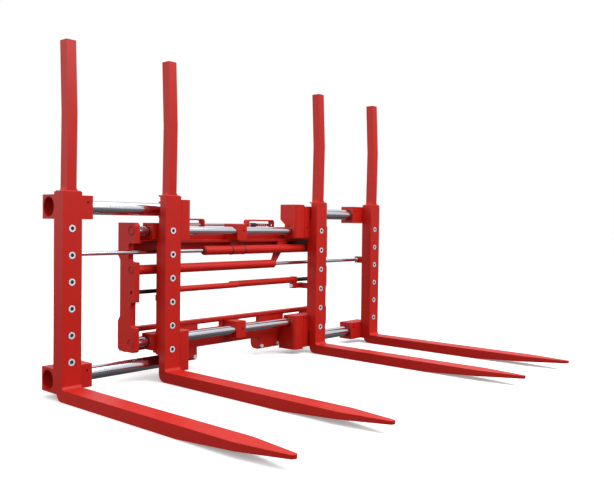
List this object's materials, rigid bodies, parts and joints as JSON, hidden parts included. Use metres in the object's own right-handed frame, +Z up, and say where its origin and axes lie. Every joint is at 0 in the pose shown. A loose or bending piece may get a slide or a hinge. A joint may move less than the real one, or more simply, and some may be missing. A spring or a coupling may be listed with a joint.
{
  "type": "fork attachment",
  "caption": "Wide hydraulic pallet handler for a forklift: forks with tall backrest bars slide along guide rods on a hook-on frame to open and close over pallets.",
  "frame": {"origin": "centre of the footprint on the plane the blades stand on", "axes": "+X along the guide rods to the right of someone facing the fork shanks, +Y from the blade tips to the truck, +Z up; stored opened wide"},
  "size_m": [1.994, 1.362, 1.345],
  "materials": {
    "red_paint": "semi-gloss",
    "rod_chrome": "polished",
    "bolt_zinc": "zinc plated",
    "bronze": "machined",
    "wiper_rubber": "matte",
    "black_rod": "satin black",
    "black_steel": "satin black",
    "knob_plastic": "matte"
  },
  "bodies": {
    "frame": {"end_plate_left": "red_paint", "end_plate_right": "red_paint", "top_beam": "red_paint", "bottom_beam": "red_paint", "frame_rod_top": "rod_chrome", "frame_rod_bottom": "rod_chrome", "rod_support_top": "red_paint", "rod_support_bottom": "red_paint", "top_hook_left": "red_paint", "latch_bracket_left": "red_paint", "lower_hook_left": "red_paint", "top_hook_right": "red_paint", "latch_bracket_right": "red_paint", "lower_hook_right": "red_paint", "lower_hook_bolts": "bolt_zinc", "cylinder_bracket": "red_paint", "cylinder_clamp": "red_paint", "upper_cylinder_tube": "red_paint", "lower_cylinder_tube": "red_paint", "upper_cylinder_gland": "red_paint", "lower_cylinder_gland": "red_paint", "short_rod_left": "black_rod", "short_rod_right": "black_rod", "port_block": "black_steel"},
    "latch": {"latch_bar": "bolt_zinc", "latch_knob": "knob_plastic"},
    "inner_left": {"inner_carriage_left": "red_paint", "inner_bushes_left": "bronze", "guide_rod_top_left": "rod_chrome", "guide_rod_bottom_left": "rod_chrome", "fork_inner_left": "red_paint", "backrest_inner_left": "red_paint", "bolts_inner_left": "bolt_zinc", "short_cylinder_left": "red_paint"},
    "inner_right": {"inner_carriage_right": "red_paint", "inner_bushes_right": "bronze", "guide_rod_top_right": "rod_chrome", "guide_rod_bottom_right": "rod_chrome", "fork_inner_right": "red_paint", "backrest_inner_right": "red_paint", "bolts_inner_right": "bolt_zinc", "short_cylinder_right": "red_paint"},
    "outer_left": {"outer_carriage_left": "red_paint", "outer_bushes_left": "bronze", "outer_wipers_left": "wiper_rubber", "fork_outer_left": "red_paint", "backrest_outer_left": "red_paint", "bolts_outer_left": "bolt_zinc", "long_rod_left": "rod_chrome"},
    "outer_right": {"outer_carriage_right": "red_paint", "outer_bushes_right": "bronze", "outer_wipers_right": "wiper_rubber", "fork_outer_right": "red_paint", "backrest_outer_right": "red_paint", "bolts_outer_right": "bolt_zinc", "long_rod_right": "rod_chrome"}
  },
  "joints": [
    {"name": "hook_latch", "type": "slide", "parent": "frame", "child": "latch", "axis": [-1, 0, 0], "range_m": [0, 0.018], "stiffness_N_per_m": 500, "springref_m": -0.01},
    {"name": "inner_left_slide", "type": "slide", "parent": "frame", "child": "inner_left", "axis": [1, 0, 0], "range_m": [0, 0.295]},
    {"name": "inner_right_slide", "type": "slide", "parent": "frame", "child": "inner_right", "axis": [-1, 0, 0], "range_m": [0, 0.295]},
    {"name": "outer_left_slide", "type": "slide", "parent": "inner_left", "child": "outer_left", "axis": [1, 0, 0], "range_m": [0, 0.382]},
    {"name": "outer_right_slide", "type": "slide", "parent": "inner_right", "child": "outer_right", "axis": [-1, 0, 0], "range_m": [0, 0.382]}
  ],
  "couplings": [
    {"joint": "inner_right_slide", "follows": "inner_left_slide", "ratio": 1},
    {"joint": "outer_right_slide", "follows": "outer_left_slide", "ratio": 1}
  ]
}
